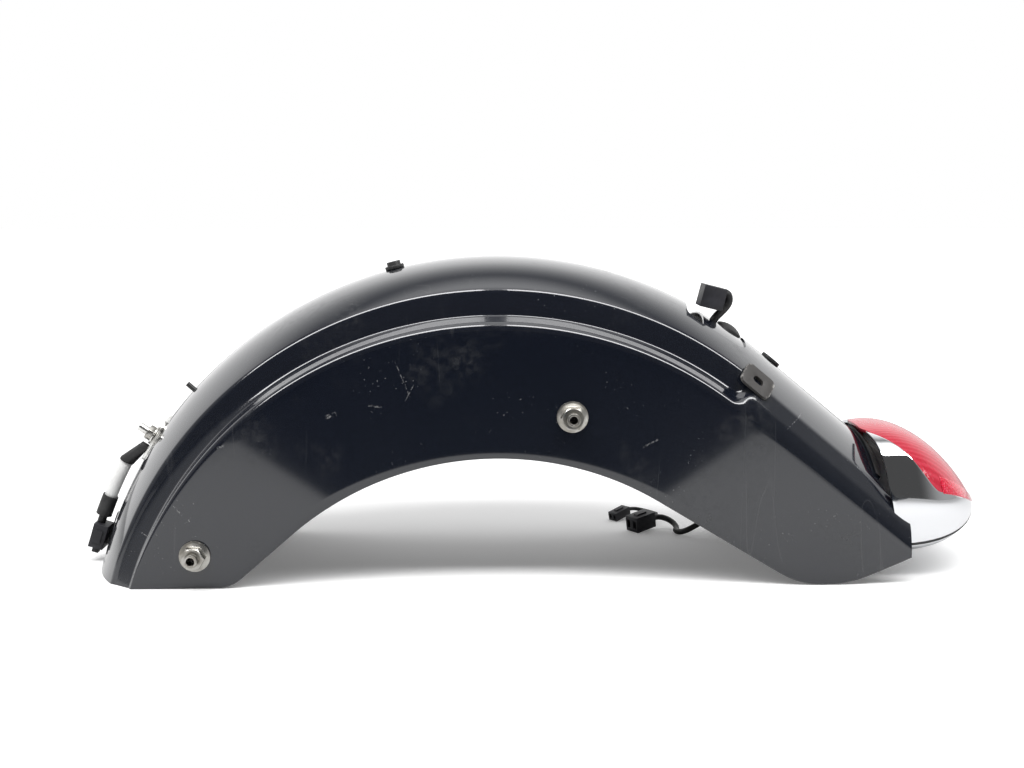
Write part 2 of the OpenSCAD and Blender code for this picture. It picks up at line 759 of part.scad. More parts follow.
// The seat lead's connector stands over the crown on its stiff lead.
module at_block() {
    at_crown(block_angle) translate([0, block_y, block_lift]) rotate([0, block_lean - block_angle, 0]) children();
}

// Five terminals stand over each other at the near edge of the connector's rear face.
module terminal_places() {
    for (i = [0 : 4]) translate([block_l, 0, block_h * (0.17 + 0.14 * i)]) children();
}

module seat_connector() {
    color([0.05, 0.05, 0.06]) at_block() difference() {
        translate([0, -block_w / 2, 0]) cube([block_l, block_w, block_h]);
        terminal_places() translate([-terminal_in, 1 - block_w / 2, 0]) cube([2 * terminal_in, terminal_w, terminal_h]);
    }
}

module seat_terminals() {
    color([0.85, 0.83, 0.7]) at_block() terminal_places()
        translate([-terminal_in, 1 - block_w / 2, 0]) cube([terminal_in - 0.5, terminal_w, terminal_h]);
}

// A strap welded under the opening, with a hole for the seal and one for the seat lead.
module opening_bridge() {
    top = wall + weld_gap;
    reach = opening_w / 2 + 8;
    color([0.08, 0.08, 0.1]) difference() {
        intersection() {
            ring_of() difference() {
                crown_section(top);
                crown_section(top + bridge_t);
            }
            at_crown(seal_angle) translate([-opening_l / 2, -reach, -20])
                cube([opening_l / 2 + seal_d / 2 + 9, 2 * reach, 40]);
        }
        at_crown(seal_angle) translate([0, 0, -20]) cylinder(d = seal_d + 2 * weld_gap, h = 40, $fn = round_n);
        at_crown(seat_lead_angle) translate([0, 0, -20]) cylinder(d = seat_lead_d + 3, h = 40, $fn = round_n);
    }
}

// A domed rubber seal that closes the bridge's larger hole.
module opening_seal() {
    color([0.07, 0.07, 0.07]) at_crown(seal_angle) difference() {
        intersection() {
            translate([0, 0, 4 - seal_dome]) sphere(r = seal_dome, $fn = fine);
            translate([0, 0, -seal_deep]) cylinder(d = seal_d, h = seal_deep + 10, $fn = round_n);
        }
        translate([0, 0, -seal_deep - 1]) cylinder(d = seal_d - 8, h = seal_deep - 1, $fn = round_n);
    }
}

// A round tube of n sides through points; every ring stands across the route.
module tube(route, d, n) {
    last = len(route) - 1;
    ways = [for (i = [0 : last]) let (w = route[min(i + 1, last)] - route[max(i - 1, 0)]) w / norm(w)];
    loft([for (i = [0 : last]) let (across = cross(ways[i], [0, 1, 0]), u = across / norm(across), v = cross(u, ways[i]))
        [for (k = [0 : n - 1]) route[i] + d / 2 * (cos(360 * k / n) * u + sin(360 * k / n) * v)]]);
}

// Points on a smooth curve through the chosen points, k to each stretch.
function smooth(p, k) = let (last = len(p) - 1) [for (i = [0 : last - 1], j = [0 : k - 1])
    let (t = j / k, a = p[max(i - 1, 0)], b = p[i], c = p[i + 1], e = p[min(i + 2, last)])
    ((2 * b) + (c - a) * t + (2 * a - 5 * b + 4 * c - e) * t * t + (3 * b - a - 3 * c + e) * t * t * t) / 2, p[last]];

seat_route = [[217.5, 0, 258.5], [219.5, 0, 258], [222, 0, 256], [222.9, 0, 252], [221.5, 0, 247], [217, 0, 241.5],
    [211.5, 0, 236], [208.1, 0, 231.5], [205.2, 0, 226.8]];
floor_route = [[290, 4.1, 155.6], [289.8, 8, 154.8], [289, 14, 150.8], [288, 19, 143], [285, 23, 133],
    [278, 28, 118], [268, 33, 98], [257, 40, 75], [246, 48, 54], [233, 56, 36], [221, 61, 24], [210, 64, 15],
    [201, 66, 9], [194, 69.5, 5], [190, 75.5, 3.3], [188.5, 82, 3.3], [190, 88.5, 4.4], [188.5, 96, 6.6],
    [184, 101.5, 9.2], [177.5, 103.5, 11.4], [171, 101.8, 12.3], [166.1, 98.4, 11.7]];
link_route = [[160.7, 105.9, 12.7], [166, 109.6, 12.9], [171, 115.5, 12.3], [173, 123, 10.8], [172.5, 131, 9.2],
    [170.5, 140, 8], [166.5, 148, 7.4], [161, 153.6, 7.5], [155, 155.4, 8.2], [149.3, 153.1, 8.8],
    [143.6, 148.4, 9.1]];

module seat_lead() {
    color([0.06, 0.06, 0.06]) tube(smooth(seat_route, 2), seat_lead_d, 10);
}

module floor_lead() {
    color([0.06, 0.06, 0.06]) tube(smooth(floor_route, 2), floor_lead_d, 8);
}

module link_lead() {
    color([0.06, 0.06, 0.06]) tube(smooth(link_route, 2), link_lead_d, 8);
}

// The harness follows the inside of the crown from the opening to the lamp.
module main_harness() {
    color([0.07, 0.07, 0.07]) {
        translate([arc_x, 0, -arc_drop]) rotate([90, 0, 0]) rotate(90 - tail_angle)
            rotate_extrude(angle = tail_angle - harness_a0, $fn = fine)
                translate([harness_r, 0]) circle(d = harness_d, $fn = round_n);
        at_tail(0) translate([0, 0, harness_r - crown_r]) rotate([0, 90, 0])
            cylinder(d = harness_d, h = harness_end, $fn = round_n);
    }
}

module harness_clips() {
    color([0.15, 0.15, 0.15]) for (x = [34, 96]) at_tail(x) translate([0, 0, harness_r - crown_r]) difference() {
        union() {
            rotate([0, 90, 0]) cylinder(d = harness_d + 3, h = 8, $fn = round_n);
            translate([0, -3, 0]) cube([8, 6, crown_r - harness_r - wall - seat]);
        }
        translate([-1, 0, 0]) rotate([0, 90, 0]) cylinder(d = harness_d + 2 * weld_gap, h = 12, $fn = round_n);
    }
}

// A small housing with a latch and open sockets, lying on its side.
module floor_plug(place, turn, tilt, l, w, h) {
    translate([arc_x + place[0], place[1], place[2]]) rotate([0, tilt, turn]) difference() {
        union() {
            translate([-l / 2, -w / 2, 0]) cube([l, w, h]);
            translate([-l / 4, -w / 6, h]) cube([l / 2, w / 3, 1.5]);
        }
        for (y = [-1, 1]) translate([-l / 2 - 1, y * w / 4 - w / 8, h / 4]) cube([l / 3, w / 4, h / 2]);
    }
}

module lead_connector_a() {
    color([0.05, 0.05, 0.05]) floor_plug([154, 95, 2], 35, -8, 26, 18, 16);
}

module lead_connector_b() {
    color([0.05, 0.05, 0.05]) floor_plug([136, 142, 2.4], 40, -12, 22, 12, 9);
}

fender_shell();
stud(stud_places[0], -1);  // stud_front_left
stud(stud_places[0], 1);  // stud_front_right
stud(stud_places[1], -1);  // stud_mid_left
stud(stud_places[1], 1);  // stud_mid_right
flange_nut(stud_places[0], -1);  // nut_front_left
flange_nut(stud_places[0], 1);  // nut_front_right
flange_nut(stud_places[1], -1);  // nut_mid_left
flange_nut(stud_places[1], 1);  // nut_mid_right
stud_doublers();
seat_nut();
ring_grommet();
signal_tab(-1);  // signal_tab_left
signal_tab(1);  // signal_tab_right
crown_screw();
front_plate();
plate_stud();
plate_washer();
plate_nut();
lead_boot();
lead_tube();
lead_sleeve();
lead_neck();
front_connector();
connector_latch();
connector_clip();
opening_bridge();
opening_seal();
seat_lead();
seat_connector();
seat_terminals();
main_harness();
harness_clips();
lamp_bracket();
lamp_gasket();
lamp_base();
screw_spacers();
lamp_screws();
bulb_socket();
lamp_bulb();
lamp_housing();
lamp_lens();
side_reflectors();
floor_lead();
link_lead();
lead_connector_a();
lead_connector_b();
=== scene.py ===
import json
import math

import bpy
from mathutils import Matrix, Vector


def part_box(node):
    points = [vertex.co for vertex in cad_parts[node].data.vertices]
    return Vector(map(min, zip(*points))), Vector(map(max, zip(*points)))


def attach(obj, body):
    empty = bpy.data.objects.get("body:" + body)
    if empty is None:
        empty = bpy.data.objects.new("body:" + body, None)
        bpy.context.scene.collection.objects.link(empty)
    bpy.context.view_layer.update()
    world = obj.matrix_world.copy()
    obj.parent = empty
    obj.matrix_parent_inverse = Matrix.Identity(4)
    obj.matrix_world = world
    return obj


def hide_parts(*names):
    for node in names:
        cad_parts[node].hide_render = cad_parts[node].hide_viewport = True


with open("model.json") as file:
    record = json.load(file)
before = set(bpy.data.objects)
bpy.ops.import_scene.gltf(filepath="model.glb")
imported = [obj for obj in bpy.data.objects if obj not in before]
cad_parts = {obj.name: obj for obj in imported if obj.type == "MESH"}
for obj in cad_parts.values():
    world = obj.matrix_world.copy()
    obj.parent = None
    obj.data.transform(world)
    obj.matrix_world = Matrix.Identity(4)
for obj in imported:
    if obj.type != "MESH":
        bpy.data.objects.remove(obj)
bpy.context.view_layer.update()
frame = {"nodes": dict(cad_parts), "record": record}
nodes = frame["nodes"]

# Sizes of the fender, in metres, as the part's source gives them. The crown is an arc round an axis at ARC_X,
# ARC_DROP under the floor.
ARC_X = -0.031654
ARC_DROP = 0.099
HALF_W = 0.103
WALL = 0.0016
HEM = 0.007

# The crown: a shallow cap between its two creases
CROWN_R = 0.393
CREASE_Y = 0.086
CREASE_R = 0.367
CAP_RISE = CROWN_R - CREASE_R
CAP_R = (CREASE_Y ** 2 + CAP_RISE ** 2) / (2 * CAP_RISE)

# The ledge under each crease: its foot and its side are arcs round axes of their own
FOOT_Y = 0.088
FOOT_R = 0.372
FOOT_DROP = 0.127
SIDE_R = 0.3495
SIDE_DROP = 0.111
LEDGE_DROP = 0.0065
LEDGE_SLOPE = LEDGE_DROP / (HALF_W - FOOT_Y)
FADE_SLOPE = 1.35
FADE_LEAST = 0.004
FADE_MARGIN = 0.002
SIDE_START = 0.02

# The rounds at the crease, the foot, the knee and the side's upper edge, and the cap's room for the first
SHOULDER_ROUNDS = (0.0052, 0.0036, 0.0024, 0.0060)
CREASE_ROOM = 0.007

# The straight tail. TAIL_SLOPE is its shoulder where the ledge has run out: places across, each with its
# drop from the crease.
TAIL_ANGLE = math.radians(39.5)
TAIL_END_X = 0.376
TAIL_CORNER_H = 0.022
TAIL_CORNER_IN = 0.005
TAIL_SLOPE = ((CREASE_Y, 0), (0.092, 0.0065), (0.098, 0.013), (HALF_W, 0.026))
RUN_OUT_START, RUN_OUT_END = 37.9, 40.2
RUN_OUT_DEGREES = 22

# The arch over the wheel, and the rounds along the lower edge
ARCH_R = 0.282
ARCH_TOP = 0.118
ARCH_FRONT = math.radians(41)
ARCH_REAR = math.radians(31)
FOOT_END_X = 0.319
NOTCH_ROUND, HEEL_ROUND, FOOT_ROUND, TAIL_CORNER_ROUND = 0.012, 0.030, 0.034, 0.012

# The opening in the crown: length, width and corner radius
OPENING = (0.066, 0.108, 0.016)
OPENING_ANGLE = math.radians(32)

# The lamp: control points of its upper and lower outline, as x behind the crown's axis and height
LAMP_FRONT = 0.348
LAMP_REAR = 0.459
LAMP_TOP = ((LAMP_FRONT, 0.131), (LAMP_FRONT + 0.064, 0.146), (LAMP_REAR, 0.057))
LAMP_LOW = ((TAIL_END_X - 0.006, 0.019), (TAIL_END_X + 0.049, 0.019), (LAMP_REAR, 0.057))
LAMP_MIDDLE = 0.6
LAMP_HALF_W = 0.096
LAMP_TAPER = 2.4
LAMP_WALL = 0.0024
LENS_T = 0.0028
REFLEX_T = 0.001


def at_arc(angle, radius):
    """Point at an angle from the top, towards the tail, and a radius round the crown's axis."""
    return Vector((ARC_X + radius * math.sin(angle), 0, radius * math.cos(angle) - ARC_DROP))


def blend(a, b, t):
    return a + (b - a) * t


def smoothstep(a, b, t):
    u = min(max((t - a) / (b - a), 0), 1)
    return u * u * (3 - 2 * u)


# Camera
CAMERA_PLACE = (ARC_X - 0.011, -1.233, 0.3512)
CAMERA_DOWN, CAMERA_RIGHT = math.radians(8.33), math.radians(1.2)
CAMERA_LENS, CAMERA_SENSOR = 45.39, 36


def make_camera():
    bpy.ops.object.camera_add(location=CAMERA_PLACE)
    camera = bpy.context.object
    camera.name = "photo_camera"
    level = math.cos(CAMERA_DOWN)
    look = Vector((math.sin(CAMERA_RIGHT) * level, math.cos(CAMERA_RIGHT) * level, -math.sin(CAMERA_DOWN)))
    camera.rotation_mode = "QUATERNION"
    camera.rotation_quaternion = look.to_track_quat("-Z", "Y")
    camera.data.lens = CAMERA_LENS
    camera.data.sensor_width = CAMERA_SENSOR
    camera.data.clip_start = 0.01
    bpy.context.scene.camera = camera


bpy.ops.object.select_all(action="DESELECT")
make_camera()
bpy.context.scene.view_settings.view_transform = "Standard"


# Materials
class Value:
    """A number or a vector that varies over a surface. An expression on values adds its nodes."""

    def __init__(self, maker, socket):
        self.maker = maker
        self.socket = socket

    def math(self, operation, *values):
        return self.maker.node("ShaderNodeMath", {"operation": operation}, dict(enumerate(values)))

    def __add__(self, other):
        return self.math("ADD", self, other)

    def __sub__(self, other):
        return self.math("SUBTRACT", self, other)

    def __rsub__(self, other):
        return self.math("SUBTRACT", other, self)

    def __mul__(self, other):
        return self.math("MULTIPLY", self, other)

    __radd__ = __add__
    __rmul__ = __mul__

    def size(self):
        return self.math("ABSOLUTE", self)

    def root(self):
        return self.math("SQRT", self)

    def top(self, other):
        return self.math("MAXIMUM", self, other)

    def wave(self):
        return self.math("SINE", self)

    def rise(self, low, high):
        """0 below low and 1 above high, with a smooth step between; low may be the larger."""
        if low > high:
            return 1 - self.rise(high, low)
        return self.maker.node("ShaderNodeMapRange", {"interpolation_type": "SMOOTHSTEP"},
                               {"Value": self, "From Min": low, "From Max": high})


class NodeTree:
    """A node tree whose nodes are all made by one method."""

    def __init__(self, tree):
        self.tree = tree

    def node(self, kind, settings, values, output=0):
        made = self.tree.nodes.new(kind)
        for key, value in settings.items():
            setattr(made, key, value)
        for key, value in values.items():
            if isinstance(value, Value):
                self.tree.links.new(value.socket, made.inputs[key])
            else:
                made.inputs[key].default_value = value
        return Value(self, made.outputs[output])

    def part(self, vector, axis):
        return self.node("ShaderNodeSeparateXYZ", {}, {0: vector}, axis)

    def ray(self, kind):
        return self.node("ShaderNodeLightPath", {}, {}, kind)


# The sockets of a Mix node that mixes colours
MIX_FACTOR, MIX_FIRST, MIX_SECOND, MIX_RESULT = 0, 6, 7, 2


class Finish(NodeTree):
    """A material on the Principled shader."""

    def __init__(self, name, **settings):
        self.material = bpy.data.materials.new(name)
        self.material.use_nodes = True
        super().__init__(self.material.node_tree)
        self.shader = self.tree.nodes["Principled BSDF"]
        for key, value in settings.items():
            self.shader.inputs[key.replace("_", " ").title().replace("Ior", "IOR")].default_value = value

    def feed(self, name, value):
        self.tree.links.new(value.socket, self.shader.inputs[name])

    def place(self):
        return self.node("ShaderNodeTexCoord", {}, {}, "Object")

    def axis(self, axis):
        return self.part(self.place(), axis)

    def turned(self, place, centre=(0, 0, 0), angles=(0, 0, 0), scale=(1, 1, 1)):
        moved = self.node("ShaderNodeVectorMath", {"operation": "SUBTRACT"}, {0: place, 1: centre})
        return self.node("ShaderNodeMapping", {}, {"Vector": moved, "Rotation": angles, "Scale": scale})

    def noise(self, scale, detail=3.0, rough=0.55, stretch=(1, 1, 1), angles=(0, 0, 0), distortion=0.0):
        place = self.turned(self.place(), angles=angles, scale=stretch)
        return self.node("ShaderNodeTexNoise", {}, {"Vector": place, "Scale": scale, "Detail": detail,
                                                    "Roughness": rough, "Distortion": distortion})

    def mix(self, amount, first, second):
        return self.node("ShaderNodeMix", {"data_type": "RGBA"},
                         {MIX_FACTOR: amount, MIX_FIRST: first, MIX_SECOND: second}, MIX_RESULT)

    def bump(self, height, distance, strength=1.0):
        self.feed("Normal", self.node("ShaderNodeBump", {}, {"Height": height, "Distance": distance,
                                                             "Strength": strength}))


def colour(r, g, b):
    return (r, g, b, 1)


def hairlines(finish, scale, degrees, width, cover):
    """Thin scratches in patches: the zero line of a long drawn-out noise."""
    run = finish.noise(scale, 1.0, 0.5, (1, 1, 0.06), (0, math.radians(degrees), 0), 0.4)
    patch = finish.noise(scale * 0.25, 2.0).rise(cover, cover + 0.08)
    return (run - 0.5).size().rise(width, 0) * patch


def scuff(finish, x, z, angle, length, width):
    """A rubbed mark on the left side, broken up by noise."""
    near = finish.turned(finish.place(), (ARC_X + x, -HALF_W, z), (0, math.radians(angle), 0))
    along, depth, across = (finish.part(near, axis) for axis in "XYZ")
    ragged = finish.noise(420, 3.0).rise(0.42, 0.56)
    return along.size().rise(length, length * 0.6) * across.size().rise(width, width * 0.4) \
        * depth.size().rise(0.03, 0.02) * ragged


# Rubbed marks on the left side: x behind the crown's axis, height, angle, length, width
SCUFFS = [(-0.1475, 0.158, 20, 0.006, 0.0024), (-0.109, 0.166, -8, 0.007, 0.0012),
          (-0.084, 0.190, -68, 0.019, 0.0007), (-0.078, 0.178, 62, 0.009, 0.0006),
          (-0.286, 0.072, -48, 0.008, 0.0010), (-0.277, 0.063, 42, 0.005, 0.0007),
          (-0.246, 0.130, 15, 0.004, 0.0012), (0.137, 0.132, 28, 0.009, 0.0011),
          (0.270, 0.150, 33, 0.014, 0.0006), (-0.318, 0.048, -20, 0.005, 0.0008)]


def paint():
    """Gloss paint under dust, a faint haze, scratches, specks and rubbed marks."""
    finish = Finish("gloss_black_paint", roughness=0.16, coat_weight=1.0, coat_roughness=0.035, coat_ior=1.5)
    dust = finish.noise(9, 4.0, 0.62).rise(0.5, 0.72) * finish.noise(160, 2.0).rise(0.35, 0.7)
    haze = finish.noise(3.2, 2.0).rise(0.38, 0.7)
    scratches = hairlines(finish, 34, 38, 0.006, 0.5).top(hairlines(finish, 27, -52, 0.005, 0.56))
    specks = finish.noise(520, 1.0).rise(0.74, 0.79) * finish.noise(13, 2.0).rise(0.5, 0.64)
    first, *others = (scuff(finish, *mark) for mark in SCUFFS)
    marks = first
    for other in others:
        marks = marks.top(other)
    rubbed = marks * finish.noise(900, 2.0).rise(0.4, 0.6) * 0.45
    worn = rubbed.top(specks * 0.45).top(scratches * 0.04)
    base = finish.mix(dust * 0.5 + haze * 0.1, colour(0.006, 0.008, 0.014), colour(0.045, 0.047, 0.05))
    finish.feed("Base Color", finish.mix(worn, base, colour(0.42, 0.42, 0.42)))
    finish.feed("Roughness", dust * 0.2 + worn * 0.3 + 0.12)
    finish.feed("Coat Weight", 1 - worn.top(dust * 0.35))
    finish.bump(finish.noise(26, 1.0) * 0.7 + worn * 0.02, 0.00018, 0.25)
    return finish.material


def plated(name, base, stain, rough):
    """Plated metal, clouded and faintly pitted."""
    finish = Finish(name, metallic=1.0)
    cloud = finish.noise(70, 4.0, 0.6).rise(0.36, 0.72)
    speck = finish.noise(900, 2.0).rise(0.62, 0.75)
    finish.feed("Base Color", finish.mix(cloud, colour(*base), colour(*stain)))
    finish.feed("Roughness", cloud * 0.18 + speck * 0.15 + rough)
    finish.bump(finish.noise(600, 3.0), 0.00006, 0.4)
    return finish.material


def dull(name, base, light, rough, grain, depth, wear=0.0):
    """Rubber, moulded plastic or blackened steel."""
    finish = Finish(name)
    cloud = finish.noise(55, 4.0).rise(0.4, 0.72)
    grains = finish.noise(grain, 3.0, 0.7)
    rubbed = finish.noise(240, 3.0).rise(0.66, 0.74) * wear
    tone = finish.mix(cloud * 0.6 + grains.rise(0.5, 0.8) * 0.3, colour(*base), colour(*light))
    finish.feed("Base Color", finish.mix(rubbed, tone, colour(0.5, 0.48, 0.45)))
    finish.feed("Roughness", grains * 0.2 + rough)
    finish.bump(grains, depth, 0.5)
    return finish.material


def worn_tab():
    """Black steel whose coating is rubbed to the bare metal towards its rim."""
    finish = Finish("worn_black_tab")
    low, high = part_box("signal_tab_left")
    x, z = finish.axis("X") - (low[0] + high[0]) / 2, finish.axis("Z") - (low[2] + high[2]) / 2
    half_diagonal = math.dist((low[0], low[2]), (high[0], high[2])) / 2
    rim = (x * x + z * z).root() * (1 / half_diagonal)
    ragged = rim + finish.noise(260, 4.0) * 0.5 - 0.35
    bare = ragged.rise(0.55, 0.85)
    finish.feed("Base Color", finish.mix(bare, colour(0.045, 0.042, 0.04), colour(0.80, 0.78, 0.74)))
    finish.feed("Metallic", bare * 0.6)
    finish.feed("Roughness", 0.5 - bare * 0.15)
    finish.bump(finish.noise(500, 3.0) - bare * 0.4, 0.0001, 0.5)
    return finish.material


def chrome():
    """Bright chrome with smears, and pits in patches."""
    finish = Finish("bright_chrome", metallic=1.0)
    smear = finish.noise(24, 4.0, 0.6).rise(0.45, 0.75)
    pits = finish.noise(700, 2.0).rise(0.7, 0.76) * finish.noise(22, 2.0).rise(0.48, 0.62)
    finish.feed("Base Color", finish.mix(pits, colour(0.86, 0.87, 0.89), colour(0.22, 0.2, 0.19)))
    finish.feed("Roughness", smear * 0.07 + pits * 0.3 + 0.035)
    finish.bump(finish.noise(60, 2.0) * 0.5 - pits * 0.4, 0.00012, 0.25)
    return finish.material


LENS_RIB_PITCH, LENS_CELL_PITCH = 0.0052, 0.0048


def lens():
    """Moulded lens with ribs across its width, cut into cells along its length."""
    finish = Finish("pink_red_lens", roughness=0.22, coat_weight=0.35, coat_roughness=0.04)
    across = (finish.axis("Y") * (2 * math.pi / LENS_RIB_PITCH)).wave()
    cells = (finish.axis("X") * (2 * math.pi / LENS_CELL_PITCH)).wave() * across
    cloud = finish.noise(40, 3.0).rise(0.35, 0.7)
    rib = across.rise(-0.6, 0.9)
    tone = finish.mix(rib * 0.45 + cloud * 0.2, colour(0.44, 0.011, 0.03), colour(0.60, 0.05, 0.085))
    finish.feed("Base Color", tone)
    finish.bump(cells + across * 0.6, 0.00016, 0.35)
    return finish.material


def reflex():
    """Prismatic reflector, with a painted glint: some of its cells get a brighter red in their colour."""
    finish = Finish("red_reflex", roughness=0.08, coat_weight=1.0, coat_roughness=0.03)
    cells = finish.node("ShaderNodeTexVoronoi", {"feature": "F1"},
                        {"Vector": finish.place(), "Scale": 420.0, "Randomness": 0.25}, "Distance")
    # Painted highlight: a glint painted into the colour of some cells
    painted_glint = finish.noise(480, 2.0).rise(0.56, 0.68)
    finish.feed("Base Color", finish.mix(painted_glint, colour(0.62, 0.006, 0.035), colour(1.0, 0.16, 0.26)))
    finish.bump(cells, 0.0006, 0.9)
    return finish.material


def clear_glass():
    finish = Finish("bulb_glass", roughness=0.03, transmission_weight=1.0)
    finish.feed("Base Color", finish.mix(finish.noise(60), colour(0.97, 0.97, 0.97), colour(0.9, 0.9, 0.9)))
    return finish.material


PAINT = paint()
ZINC = plated("zinc_plate", (0.52, 0.51, 0.48), (0.34, 0.32, 0.28), 0.27)
BRIGHT = plated("bright_plate", (0.84, 0.84, 0.82), (0.62, 0.60, 0.56), 0.18)
TIN = plated("tin_plate", (0.90, 0.88, 0.80), (0.75, 0.72, 0.64), 0.25)
BLACK_STEEL = dull("black_steel", (0.02, 0.02, 0.02), (0.06, 0.06, 0.06), 0.32, 420, 0.00008, 0.25)
RUBBER = dull("black_rubber", (0.014, 0.014, 0.015), (0.05, 0.05, 0.05), 0.5, 600, 0.0001)
JACKET = dull("lead_jacket", (0.012, 0.012, 0.013), (0.05, 0.05, 0.052), 0.4, 380, 0.00006)
PLASTIC = dull("black_plastic", (0.016, 0.016, 0.02), (0.04, 0.04, 0.05), 0.42, 900, 0.00008)
PALE_TUBE = dull("pale_tube", (0.86, 0.86, 0.85), (0.78, 0.78, 0.76), 0.4, 300, 0.00015)
WHITE_PLASTIC = dull("white_plastic", (0.82, 0.82, 0.80), (0.72, 0.72, 0.70), 0.3, 500, 0.00005)
CHROME = chrome()
LENS = lens()
REFLEX = reflex()
GLASS = clear_glass()
TAB = worn_tab()
SLOTS = {"black_paint": PAINT, "zinc": ZINC, "black_steel": BLACK_STEEL, "worn_steel": TAB,
         "black_rubber": RUBBER, "black_lead": JACKET, "light_tube": PALE_TUBE, "black_plastic": PLASTIC,
         "tin_terminal": TIN, "chrome": CHROME, "red_lens": LENS, "red_reflex": REFLEX,
         "white_plastic": WHITE_PLASTIC, "clear_glass": GLASS}
BRIGHT_NODES = ("front_plate", "plate_stud", "plate_washer")
slot_of = {part["node"]: part["material_slot"] for part in frame["record"]["subparts"]}

WELD_GAP = 0.00002
EDGE_ROUND = 0.0003
EDGE_ANGLE = math.radians(38)


# The pieces that stay as the CAD model has them: a material, merged corners and a small round on each edge
def dress_nodes():
    for name, node in nodes.items():
        node.data.materials.clear()
        node.data.materials.append(BRIGHT if name in BRIGHT_NODES else SLOTS[slot_of[name]])
        weld = node.modifiers.new("weld", "WELD")
        weld.merge_threshold = WELD_GAP
        edge = node.modifiers.new("edge", "BEVEL")
        edge.width = EDGE_ROUND
        edge.segments = 2
        edge.limit_method = "ANGLE"
        edge.angle_limit = EDGE_ANGLE
        edge.harden_normals = True
        for face in node.data.polygons:
            face.use_smooth = True


dress_nodes()


# Tools for the new pieces
def mesh_of(name, points, faces, material):
    mesh = bpy.data.meshes.new(name)
    mesh.from_pydata([tuple(p) for p in points], [], faces)
    piece = bpy.data.objects.new(name, mesh)
    bpy.context.scene.collection.objects.link(piece)
    mesh.materials.append(material)
    return piece


def take(piece):
    bpy.ops.object.select_all(action="DESELECT")
    piece.select_set(True)
    bpy.context.view_layer.objects.active = piece


def tidy(piece, merge=0.00001):
    """Merges the piece's doubles and turns its faces outwards."""
    take(piece)
    bpy.ops.object.mode_set(mode="EDIT")
    bpy.ops.mesh.select_all(action="SELECT")
    bpy.ops.mesh.remove_doubles(threshold=merge)
    bpy.ops.mesh.normals_make_consistent(inside=False)
    bpy.ops.object.mode_set(mode="OBJECT")


def modify(piece, kind, **settings):
    take(piece)
    modifier = piece.modifiers.new(kind.lower(), kind)
    for key, value in settings.items():
        setattr(modifier, key, value)
    bpy.ops.object.modifier_apply(modifier=modifier.name)


def smooth(piece, degrees):
    take(piece)
    bpy.ops.object.shade_smooth_by_angle(angle=math.radians(degrees))


def settle(piece, slot, *replaced):
    """The piece rides on the fender, in place of the named nodes. Its slot is not used."""
    take(piece)
    bpy.ops.object.transform_apply(location=True, rotation=True, scale=True)
    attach(piece, "root")
    if replaced:
        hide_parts(*replaced)


def grid_of(name, rows, material, closed=False, caps=()):
    """A sheet through rows of points, with the faces in caps closing its first and its last row."""
    wide = len(rows[0])
    points = [p for row in rows for p in row]
    last = wide if closed else wide - 1
    faces = [(j * wide + i, j * wide + (i + 1) % wide, (j + 1) * wide + (i + 1) % wide, (j + 1) * wide + i)
             for j in range(len(rows) - 1) for i in range(last)]
    far = (len(rows) - 1) * wide
    faces += list(caps) + [tuple(far + i for i in face) for face in caps]
    return mesh_of(name, points, faces, material)


def rounded(points, radii, steps=6):
    """A line through points whose corners are rounded by radii, 0 where a corner stays."""
    out = [points[0]]
    for i in range(1, len(points) - 1):
        before, here, after = points[i - 1], points[i], points[i + 1]
        if radii[i] == 0:
            out.append(here)
            continue
        reach = min(radii[i], 0.45 * (before - here).length, 0.45 * (after - here).length)
        a = here + (before - here).normalized() * reach
        b = here + (after - here).normalized() * reach
        for k in range(steps + 1):
            t = k / steps
            out.append((1 - t) ** 2 * a + 2 * t * (1 - t) * here + t * t * b)
    out.append(points[-1])
    return out


# The pressed shell: closed sections at stations from the front to the tail. The first stretch turns from
# the floor to FRONT_START, the second follows the crown's arc and the third the straight tail, closer
# together at its start.
FRONT_STEPS, ARC_STEPS, TAIL_STEPS = 16, 200, 60
LAST_STATION = FRONT_STEPS + ARC_STEPS + TAIL_STEPS
FRONT_START = math.radians(60)
FRONT_SECTION = math.radians(74)
TAIL_CROWDING = 1.25
CROWN_STEPS = 22

# The stations of the lower edge's corners
NOTCH_STATION, ARCH_START_STATION, ARCH_END_STATION = 10, 26, 190
HEEL_STATION, FOOT_STATION, TAIL_CORNER_STATION = 222, 238, 260
ARCH_PARTS = 48
STATION_SCALE = 1000

# Panels down the side, steps round the hem, and the stations over which the hem grows at either end
PANEL_STEPS, FOLD_STEPS = 12, 6
HEM_AT_FRONT, HEM_AT_TAIL = (1, 9), (1, 14)


def rail(radius, drop, angle):
    """How far from the crown's axis an arc of that radius lies, whose own axis is drop under the floor."""
    low = drop - ARC_DROP
    return math.sqrt(radius ** 2 - (low * math.sin(angle)) ** 2) - low * math.cos(angle)


def shoulder(angle, tail):
    """From the crease to the side, as (across, out) points; tail is 1 where the ledge has run out."""
    foot = rail(FOOT_R, FOOT_DROP, angle)
    side = rail(SIDE_R, SIDE_DROP, angle)
    fade = max(foot - side - LEDGE_DROP, 0) / (FADE_SLOPE - LEDGE_SLOPE)
    fade = min(max(fade, FADE_LEAST), HALF_W - FOOT_Y - FADE_MARGIN)
    knee = side + LEDGE_SLOPE * (HALF_W - FOOT_Y - fade)
    ledge = [(CREASE_Y, CREASE_R), (FOOT_Y, foot), (FOOT_Y + fade, knee), (HALF_W, side)]
    slope = [(across, CREASE_R - drop) for across, drop in TAIL_SLOPE]
    return [Vector((blend(a[0], b[0], tail), blend(a[1], b[1], tail))) for a, b in zip(ledge, slope)]


